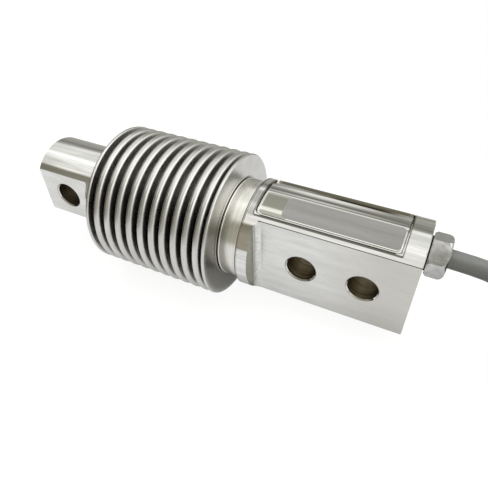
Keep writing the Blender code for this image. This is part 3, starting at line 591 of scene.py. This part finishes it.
bodySteels = ("turnedSteel", "milledSteel", "facedSteel", "boredSteel", "neckSteel", "seamGapShade")
finishPiece(measuringBody, [steels[n] for n in bodySteels], choose=bodyFinish)
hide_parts("measuring_body")
print("measuring body:", len(measuringBody.data.polygons), "faces")

# bellows
bellow = {"crestR": 21.7, "rootR": 15.7, "radius": 1.06,
          "xs": (31.17, 34.85, 38.72, 42.56, 46.37, 50.09, 53.60, 57.30, 60.86, 64.37),
          "endRadius": 0.5, "ends": (27.96, 66.9), "wall": 0.3, "flare": 0.3, "cuffR": 15.05, "steps": 224,
          "fine": 11}
w = bellow
crests = [(w["ends"][0], w["endRadius"])]
crests += [(x, w["radius"]) for x in w["xs"]]
crests += [(w["ends"][1], w["endRadius"])]


def flareOut(x, way, inset):  # from a cuff out to its end disc
    flare = w["flare"] + inset
    return [(x + way * flare * (1 - math.sin(a)), w["cuffR"] - inset + flare * (1 - math.cos(a)))
            for a in map(math.radians, (0, 30, 60, 90))]


def bellowsOutline(inset, fine):  # the skin, moved inwards by inset
    points = flareOut(crests[-1][0] + crests[-1][1] - inset, 1, inset)
    for k in range(len(crests) - 1, -1, -1):
        x, r = crests[k]
        points += arcPoints(x, w["crestR"] - r, r - inset, 0, 180, fine)
        if k:
            nextX, nextR = crests[k - 1]
            rootR = (x - r - nextX - nextR) / 2
            points += arcPoints(x - r - rootR, w["rootR"] + rootR, rootR + inset, 0, -180, fine)
    return points + flareOut(crests[0][0] - crests[0][1] + inset, -1, inset)[::-1]


skin = bellowsOutline(0.0, w["fine"])
inside = bellowsOutline(w["wall"], 5)
bellowsShell = makeMesh("bellowsShell", turnProfile(skin + inside[::-1], w["steps"], closed=True))
finishPiece(bellowsShell, [steels["bellowsSteel"]], sharp=50)
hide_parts("bellows")
ring = {"x": crests[0][0] - crests[0][1] - 0.05, "innerR": 12.9, "outerR": 14.7, "length": 3.55, "edge": 0.3}
ringEnd = ring["x"] - ring["length"]
loadRing = makeMesh("loadRing", turnProfile(
    [(ring["x"], ring["innerR"]), (ring["x"], ring["outerR"]), (ringEnd + ring["edge"], ring["outerR"]),
     (ringEnd, ring["outerR"] - ring["edge"]), (ringEnd, ring["innerR"])], 192, closed=True))
finishPiece(loadRing, [steels["turnedSteel"], steels["facedSteel"]],
            choose=lambda c, n: 1 if abs(n.x) > 0.98 else 0)
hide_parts("load_side_ring")
print("bellows:", len(bellowsShell.data.polygons), "faces")

# cover and nameplate
cover = {"gap": 0.25, "outerR": 15.65, "innerR": 14.75, "edge": 0.22, "steps": 220, "low": 0.08,
         "raisedR": 15.3, "tenths": 167, "plateXs": (77.05, 114.8), "plate": (2.0, 28.4), "plateR": 15.70,
         "plateThick": 0.33, "plateCorner": 1.5, "plateEdge": 0.3, "filmXs": (83.55, 114.6),
         "film": (3.0, 27.2), "filmThick": 0.03, "filmSink": 0.01, "filmCorner": 1.1, "plateSteps": 90,
         "lean": ((-14.6, 0), (-14.2, 16), (-12.0, 15), (-9.5, 8), (-7.0, -1), (-5.2, 4), (-3.6, 4),
                  (-1.6, -4), (-0.6, 7), (2.0, 7))}  # degrees from the top, slope to the front
side = recess["half"] - math.degrees(cover["gap"] / b["blockR"])
cavityCover = makeMesh("cavityCover", sweptPlate(
    (recess["xs"][0] + cover["gap"], recess["xs"][1] - cover["gap"]), (cover["innerR"], cover["outerR"]),
    (-side, side), recess["corner"] - cover["gap"], cover["steps"]))
softenEdges(cavityCover, cover["edge"])


def leanAt(angle):
    for (a0, v0), (a1, v1) in zip(cover["lean"], cover["lean"][1:]):
        if a0 <= angle < a1:
            return v0 + (v1 - v0) * (angle - a0) / (a1 - a0)
    return 0.0


edgeAt = cover["plate"][0]
heights = [-cover["low"]]  # of the cover's strip over its round, by tenths of a degree back from the plate
for k in range(cover["tenths"]):
    heights.append(heights[-1]
                   + math.tan(math.radians(leanAt(edgeAt - k / 10))) * math.radians(0.1) * cover["outerR"])
for vert in cavityCover.data.vertices:
    y, z = vert.co.y / mm, vert.co.z / mm - cell["axisZ"]
    angle, radius = math.degrees(math.atan2(-y, z)), math.hypot(y, z)
    above = radius - cover["raisedR"]
    if cover["lean"][0][0] < angle < edgeAt and above > 0:
        rise = heights[int((edgeAt - angle) * 10)] * above / (cover["outerR"] - cover["raisedR"])
        vert.co.y *= 1 + rise / radius
        vert.co.z += rise * z / radius * mm
finishPiece(cavityCover, [steels["coverSteel"]], sharp=40)
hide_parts("cavity_cover")
plateTop = cover["plateR"] + cover["plateThick"]
nameplate = makeMesh("nameplate", sweptPlate(
    cover["plateXs"], (cover["plateR"], plateTop), cover["plate"], cover["plateCorner"], cover["plateSteps"]))
softenEdges(nameplate, cover["plateEdge"], segments=5)
finishPiece(nameplate, [steels["plateSteel"]], sharp=40)
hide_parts("nameplate")
nameplateFilm = makeMesh("nameplateFilm", sweptPlate(
    cover["filmXs"], (plateTop - cover["filmSink"], plateTop + cover["filmThick"]), cover["film"],
    cover["filmCorner"], cover["plateSteps"]))
finishPiece(nameplateFilm, [finishes["plateFilm"]], sharp=20)
print("cover and nameplate made")

# gland
gland = {"z": b["glandZ"], "stemR": 3.7, "stemX": (112.16, 123.3), "stemEdge": 0.2, "mouthR": 2.8,
         "ringX": (120.62, 121.1), "ringR": 4.6, "ringHalf": 0.24, "grommetX": (123.55, 124.7),
         "grommetR": (2.75, 3.6), "nutX": (121.05, 125.8), "nutFlat": 5.1, "nutTurn": 12.0, "nutHoleR": 2.62,
         "nutEdge": 0.24, "seatR": 4.0, "wall": 1.0, "steps": 96}
g = gland
stem = makeMesh("glandStem", turnProfile(
    [(g["stemX"][1], g["mouthR"]), (g["stemX"][1], g["stemR"] - g["stemEdge"]),
     (g["stemX"][1] - g["stemEdge"], g["stemR"]), (g["stemX"][0], g["stemR"]), (g["stemX"][0], g["mouthR"])],
    g["steps"], g["z"], True))
finishPiece(stem, [steels["glandSteel"]])
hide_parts("gland_stem")
ringMid = sum(g["ringX"]) / 2
oRing = makeMesh("glandORing", turnProfile(
    arcPoints(ringMid, g["ringR"] - g["ringHalf"], g["ringHalf"], 0, 180, 12)
    + [(x, g["seatR"]) for x in g["ringX"]], g["steps"], g["z"], True))
finishPiece(oRing, [finishes["blackRubber"]])
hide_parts("gland_o_ring")
grommet = makeMesh("glandGrommet", turnProfile(
    [(g["grommetX"][1], g["grommetR"][0]), (g["grommetX"][1], g["grommetR"][1]),
     (g["grommetX"][0], g["grommetR"][1]), (g["grommetX"][0], g["grommetR"][0])], g["steps"], g["z"], True))
finishPiece(grommet, [finishes["blackRubber"]])
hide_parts("seal_grommet")

cornerR = g["nutFlat"] / math.cos(math.radians(30))
nutWork = rod((g["nutX"][0], 0, g["z"]), (g["nutX"][1], 0, g["z"]), cornerR, sides=6)
nutTurn = Matrix.Rotation(math.radians(30 + g["nutTurn"]), 4, "X")
centre = at(0, 0, g["z"])
bmesh.ops.transform(nutWork, matrix=Matrix.Translation(centre) @ nutTurn @ Matrix.Translation(-centre),
                    verts=nutWork.verts)
glandNut = makeMesh("glandNut", nutWork)
x0, x1 = g["nutX"]
outer = 9.0  # well outside the nut
cutAway(glandNut, [
    turnProfile([(x1 + 1, cornerR - 1.9), (x1, cornerR - 0.95), (x1 - 0.45, cornerR - 0.35),
                 (x1 - 1.3, cornerR + 0.05), (x1 - 1.3, outer), (x1 + 1, outer)], g["steps"], g["z"], True),
    turnProfile([(x0 + 0.7, outer), (x0 + 0.7, cornerR + 0.05), (x0, cornerR - 0.55), (x0 - 1, cornerR - 1.3),
                 (x0 - 1, outer)], g["steps"], g["z"], True),
    rod((x0 - 1, 0, g["z"]), (x1 - g["wall"], 0, g["z"]), g["seatR"]),
    rod((x0, 0, g["z"]), (x1 + 1, 0, g["z"]), g["nutHoleR"])])
softenEdges(glandNut, g["nutEdge"])
finishPiece(glandNut, [steels["glandSteel"]], sharp=30)
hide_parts("gland_nut")
print("gland made")

# cable: gland, run, hank of ten turns, bare end
cable = {"r": 2.5, "exit": (126.4, 0.0, 31.45), "start": 150.2, "run": 95.0, "pitch": 5.2, "fold": 15.2,
         "shift": 24.0, "stagger": 5.0, "window": 184.2, "tail": 16.0, "tailFromFold": 36.0, "tailY": 7.5,
         "strap": 22.0, "step": 2.5, "foldSteps": 24,
         "order": ((1, 5), (0, 5), (0, 4), (1, 4), (1, 3), (0, 3), (0, 2), (1, 2), (1, 1), (0, 1))}
c = cable
outerLane = c["fold"] + c["pitch"]
leftX = c["start"] + outerLane + c["r"]
rightX = leftX + c["run"]
overZ = 5 * c["pitch"] + 0.3 + c["r"]


def slotOf(k):  # lane radius and height of a turn, from the gland on
    lane, layer = c["order"][k]
    return c["fold"] + lane * c["pitch"], (layer - 0.5) * c["pitch"]


def ease(t):
    t = max(0.0, min(1.0, t))
    return 0.5 - 0.5 * math.cos(math.pi * t)


def smoothLine(points, step):  # a smooth curve through the points
    ends = [points[0] * 2 - points[1], *points, points[-1] * 2 - points[-2]]
    line = [points[0]]
    for p0, p1, p2, p3 in zip(ends, ends[1:], ends[2:], ends[3:]):
        count = max(1, round((p2 - p1).length / step))
        for k in range(1, count + 1):
            t = k / count
            line.append(0.5 * (2 * p1 + (p2 - p0) * t + (2 * p0 - 5 * p1 + 4 * p2 - p3) * t ** 2
                               + (3 * p1 - p0 - 3 * p2 + p3) * t ** 3))
    return line


free = c["start"] - c["exit"][0]
drop = c["exit"][2] - overZ
lead = [Vector(p) for p in (
    (118.0, 0, c["exit"][2]), (122.0, 0, c["exit"][2]), c["exit"],
    (c["exit"][0] + free * 0.35, 0, c["exit"][2] - drop * 0.2),
    (c["exit"][0] + free * 0.7, -c["fold"] * 0.05, c["exit"][2] - drop * 0.7),
    (c["start"] + 2, -c["fold"] * 0.22, overZ), (c["start"] + 12, -c["fold"] * 0.53, overZ),
    (c["start"] + 23, -c["fold"] * 0.87, overZ), (c["start"] + 32, -c["fold"] * 1.13, overZ),
    (c["start"] + 42, -outerLane, overZ))]
route = smoothLine(lead, c["step"])
route = [p for p in route if p.x <= c["window"] + 2]


def squeeze(x, z):  # the turns lift and close up a little inside the strap
    near = ease(1 - max(0.0, abs(x - (leftX + c["strap"])) - 6.0) / 14.0)
    return z + near * ((z - 0.1) * (24.9 / 25.8 - 1) + 0.8)


turns = len(c["order"])
for k in range(turns):
    radius, height = slotOf(k)
    fromR, fromZ = (outerLane, overZ) if k == 0 else slotOf(k - 1)
    begin = c["window"] + (turns - k) * c["stagger"] - turns * c["stagger"] / 2
    x = c["window"] + 2.0 if k == 0 else leftX
    if k == 0:
        begin += c["stagger"]
    while x < rightX:
        t = ease((x - begin) / c["shift"])
        lane = fromR + (radius - fromR) * t
        z = fromZ + (height - fromZ) * t
        route.append(Vector((x, -lane, squeeze(x, z))))
        x += c["step"]
    for j in range(c["foldSteps"] + 1):
        a = math.radians(-90 + 180 * j / c["foldSteps"])
        route.append(Vector((rightX + radius * math.cos(a), radius * math.sin(a), height)))
    if k == turns - 1:
        break
    x = rightX - c["step"]
    while x > leftX:
        route.append(Vector((x, radius, height)))
        x -= c["step"]
    for j in range(c["foldSteps"] + 1):
        a = math.radians(90 + 180 * j / c["foldSteps"])
        route.append(Vector((leftX + radius * math.cos(a), radius * math.sin(a), height)))
    route.pop()
tailX = leftX + c["tailFromFold"]
tailZ = c["r"] + 0.1
endRun = [Vector(p) for p in (
    (rightX - 6, c["fold"], tailZ), (rightX - 22, c["fold"], tailZ), (tailX + 14, c["fold"] - 2.2, tailZ),
    (tailX, c["fold"] - 2 * c["r"] - 0.3, tailZ), (tailX - c["tail"], c["tailY"], tailZ))]
route += smoothLine(endRun, c["step"])
routePoints = [floorPoint(*p) for p in route]
curve = bpy.data.curves.new("signalCable", "CURVE")
curve.dimensions = "3D"
curve.bevel_depth = c["r"] * mm
curve.bevel_resolution = 6
curve.use_fill_caps = True
spline = curve.splines.new("POLY")
spline.points.add(len(routePoints) - 1)
for point, co in zip(spline.points, routePoints):
    point.co = (*co, 1.0)
spline.use_smooth = True
curve.materials.append(finishes["cableJacket"])
signalCable = bpy.data.objects.new("signalCable", curve)
bpy.context.scene.collection.objects.link(signalCable)
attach(signalCable, "root")
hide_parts("cable", "cable_hank", "cable_tail")

# strap round the hank
strap = {"x": leftX + c["strap"], "wide": 12.0, "thick": 0.7, "corner": 2.6, "slack": 0.95, "top": 26.95}
s = strap
low = (s["x"] - s["wide"] / 2, -outerLane - c["r"] - s["slack"], -cell["axisZ"])
high = (s["x"] + s["wide"] / 2, -c["fold"] + c["r"] + s["slack"], s["top"] - cell["axisZ"])
strapWork = brick(low, high, s["corner"], lambda e: abs(e.verts[0].co.x - e.verts[1].co.x) > 1e-6)
bmesh.ops.delete(strapWork, geom=[f for f in strapWork.faces if abs(f.normal.x) > 0.9], context="FACES")
bmesh.ops.recalc_face_normals(strapWork, faces=strapWork.faces)
hankStrap = makeMesh("hankStrap", strapWork)
wallOf = hankStrap.modifiers.new("wall", "SOLIDIFY")
wallOf.thickness = s["thick"] * mm
wallOf.offset = -1
bake(hankStrap)
finishPiece(hankStrap, [finishes["strapFabric"]], sharp=40)
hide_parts("cable_tie")
floorPoint(*c["exit"])

# the nodes that stay
nodeFinishes = {"compensation_board": "boardGreen", "strain_gauge": "gaugeFilm",
                "trim_resistor": "resistorBody", "gauge_wire": "wireCopper"}
nodeFinishes.update({f"{kind}_{hue.lower()}": f"core{hue}" for kind in ("core", "lead")
                     for hue in ("Red", "Black", "Green", "White")})
for name, obj in frame["nodes"].items():
    for start, finish in nodeFinishes.items():
        if name.startswith(start):
            mat = finishes["wireWhite" if start == "gauge_wire" and name.endswith("block") else finish]
            obj.data.materials.clear()
            obj.data.materials.append(mat)
print("node finishes set")

# floor, world and lamps
stage = {"floor": 0.22, "lift": 0.88, "shineLift": 0.70, "backEdge": 0.10, "leftEdge": -0.115,
         "under": {"x": (0.055, 0.080), "y": (0.002, 0.026), "dim": 0.30},
         "dim": (-0.90, -0.66, 0.06),
         "glow": {"x": (0.15, 0.75), "y": (-0.80, -0.40), "z": (-0.05, 0.40), "strength": 1.5},
         "lean": (-0.332, 0.163, 1.0), "scale": 0.94, "turnOver": 0.12,
         "backBands": ((0.00, (0.44, 0.44, 0.40)), (0.45, (0.43, 0.43, 0.39)), (0.55, (0.31, 0.31, 0.28)),
                       (0.63, (0.28, 0.28, 0.25)), (0.69, (0.43, 0.43, 0.40)), (0.735, (0.60, 0.60, 0.56)),
                       (0.765, (1.0, 1.0, 0.96)),
                       (0.81, (1.15, 1.15, 1.11)), (0.87, (0.96, 0.96, 0.92)), (0.92, (0.98, 0.98, 0.94)),
                       (0.96, (1.04, 1.04, 1.00))),
         "frontBands": ((0.00, (0.40, 0.385, 0.32)), (0.38, (0.40, 0.39, 0.33)), (0.50, (0.34, 0.33, 0.27)),
                        (0.60, (0.27, 0.26, 0.205)), (0.68, (0.29, 0.28, 0.225)), (0.735, (1.20, 1.18, 1.10)),
                        (0.78, (1.10, 1.09, 1.03)), (0.84, (1.06, 1.06, 1.01)), (0.90, (1.10, 1.10, 1.06)),
                        (0.96, (1.25, 1.25, 1.21))),
         "tube": {"y": 0.06, "half": 0.05, "soft": 0.10, "above": (0.80, 0.88), "glow": 0.9}}
floorWork = bmesh.new()
bmesh.ops.create_grid(floorWork, x_segments=1, y_segments=1, size=1.5)
for vert in floorWork.verts:
    vert.co.y = min(vert.co.y, stage["backEdge"])
    vert.co.x = max(vert.co.x, stage["leftEdge"])
floorPlane = makeMesh("floorPlane", floorWork)
floorMat, nodes, links, shader = newMaterial("floorPaper")
shader.inputs["Base Color"].default_value = (stage["floor"], stage["floor"], stage["floor"], 1)
shader.inputs["Roughness"].default_value = 0.9
shader.inputs["Specular IOR Level"].default_value = 0.1
rays = nodes.new("ShaderNodeLightPath")
mirrored = summed(nodes, links, "MAXIMUM", rays.outputs["Is Glossy Ray"], rays.outputs["Is Transmission Ray"])
where = nodes.new("ShaderNodeTexCoord")
split = nodes.new("ShaderNodeSeparateXYZ")
links.new(where.outputs["Object"], split.inputs["Vector"])
# painted shadow: the floor's glow to glossy rays is dimmed right under the cell, in place of the cell's own
# shadow there
under = stage["under"]  # what the metal sees right under the cell is dim
aside = ranged(nodes, links, summed(nodes, links, "ABSOLUTE", split.outputs["Y"], 0), *under["y"], 0, 1)
along = ranged(nodes, links, summed(nodes, links, "ABSOLUTE", split.outputs["X"], 0), *under["x"], 0, 1)
clear = summed(nodes, links, "MAXIMUM", aside, along)
shine = ranged(nodes, links, clear, 0, 1, under["dim"] * stage["shineLift"], stage["shineLift"])
seen = summed(nodes, links, "MULTIPLY", rays.outputs["Is Camera Ray"], stage["lift"])
lift = summed(nodes, links, "ADD", seen, summed(nodes, links, "MULTIPLY", mirrored, shine))
shader.inputs["Emission Color"].default_value = (1, 1, 1, 1)
links.new(lift, shader.inputs["Emission Strength"])
floorPlane.data.materials.append(floorMat)

world = bpy.data.worlds.new("studio")
bpy.context.scene.world = world
world.use_nodes = True
nodes, links = world.node_tree.nodes, world.node_tree.links
backdrop = nodes["Background"]
where = nodes.new("ShaderNodeTexCoord")
toLight = nodes.new("ShaderNodeVectorMath")  # how far a direction leans to the big light above
toLight.operation = "DOT_PRODUCT"
toLight.inputs[1].default_value = stage["lean"]
links.new(where.outputs["Generated"], toLight.inputs[0])
leaning = nodes.new("ShaderNodeMath")
leaning.operation = "MULTIPLY"
leaning.inputs[1].default_value = stage["scale"]
links.new(toLight.outputs["Value"], leaning.inputs[0])
ramps = []
for key in ("frontBands", "backBands"):
    ramp = nodes.new("ShaderNodeValToRGB")
    links.new(leaning.outputs["Value"], ramp.inputs["Fac"])
    while len(ramp.color_ramp.elements) < len(stage[key]):
        ramp.color_ramp.elements.new(0.5)
    for element, (place, colour) in zip(ramp.color_ramp.elements, stage[key]):
        element.position = place
        element.color = (*colour, 1)
    ramps.append(ramp.outputs["Color"])
split = nodes.new("ShaderNodeSeparateXYZ")
links.new(where.outputs["Generated"], split.inputs["Vector"])
sides = nodes.new("ShaderNodeMix")
sides.data_type = "RGBA"
links.new(ranged(nodes, links, split.outputs["Y"], -stage["turnOver"], stage["turnOver"], 0, 1),
          sides.inputs["Factor"])
links.new(ramps[0], sides.inputs["A"])
links.new(ramps[1], sides.inputs["B"])
rays = nodes.new("ShaderNodeLightPath")
pick = nodes.new("ShaderNodeMix")
pick.data_type = "RGBA"
pick.inputs["B"].default_value = (1, 1, 1, 1)
links.new(rays.outputs["Is Camera Ray"], pick.inputs["Factor"])
tube = stage["tube"]  # a long light overhead, along the cell
overhead = between(nodes, links, split.outputs["Y"], tube["y"] - tube["half"], tube["y"] + tube["half"],
                   tube["soft"])
overhead = summed(nodes, links, "MULTIPLY", overhead,
                  ranged(nodes, links, leaning.outputs["Value"], *tube["above"], 0, tube["glow"]))
glow = stage["glow"]  # a soft light past the cable end
fromEnd = summed(nodes, links, "MULTIPLY", ranged(nodes, links, split.outputs["X"], *glow["x"], 0, 1),
                 ranged(nodes, links, split.outputs["Z"], *glow["z"], 0, glow["strength"]))
fromEnd = summed(nodes, links, "MULTIPLY", fromEnd,
                 ranged(nodes, links, split.outputs["Y"], *glow["y"], 0, 1))
overhead = summed(nodes, links, "ADD", overhead, fromEnd)
dimming = nodes.new("ShaderNodeMix")
dimming.data_type = "RGBA"
dimming.inputs["A"].default_value = (0, 0, 0, 1)
links.new(ranged(nodes, links, split.outputs["X"], *stage["dim"][:2], stage["dim"][2], 1),
          dimming.inputs["Factor"])
links.new(sides.outputs["Result"], dimming.inputs["B"])
glowing = nodes.new("ShaderNodeMix")
glowing.data_type = "RGBA"
glowing.blend_type = "ADD"
glowing.inputs["Factor"].default_value = 1.0
tone = nodes.new("ShaderNodeCombineColor")
for socket in ("Red", "Green", "Blue"):
    links.new(overhead, tone.inputs[socket])
links.new(dimming.outputs["Result"], glowing.inputs["A"])
links.new(tone.outputs["Color"], glowing.inputs["B"])
links.new(glowing.outputs["Result"], pick.inputs["A"])
links.new(pick.outputs["Result"], backdrop.inputs["Color"])

lamps = {"overhead": {"place": (-0.25, 0.10, 0.75), "size": 0.35, "power": 0.8, "aim": (0, 0, 0)}}
for name, lamp in lamps.items():
    data = bpy.data.lights.new(name, "AREA")
    data.shape = "SQUARE"
    data.size = lamp["size"]
    data.energy = lamp["power"]
    lampObj = bpy.data.objects.new(name, data)
    lampObj.location = lamp["place"]
    aim = Vector(lamp["aim"]) - Vector(lamp["place"])
    lampObj.rotation_euler = aim.to_track_quat("-Z", "Y").to_euler()
    lampObj.visible_glossy = False
    bpy.context.scene.collection.objects.link(lampObj)
print("stage set")
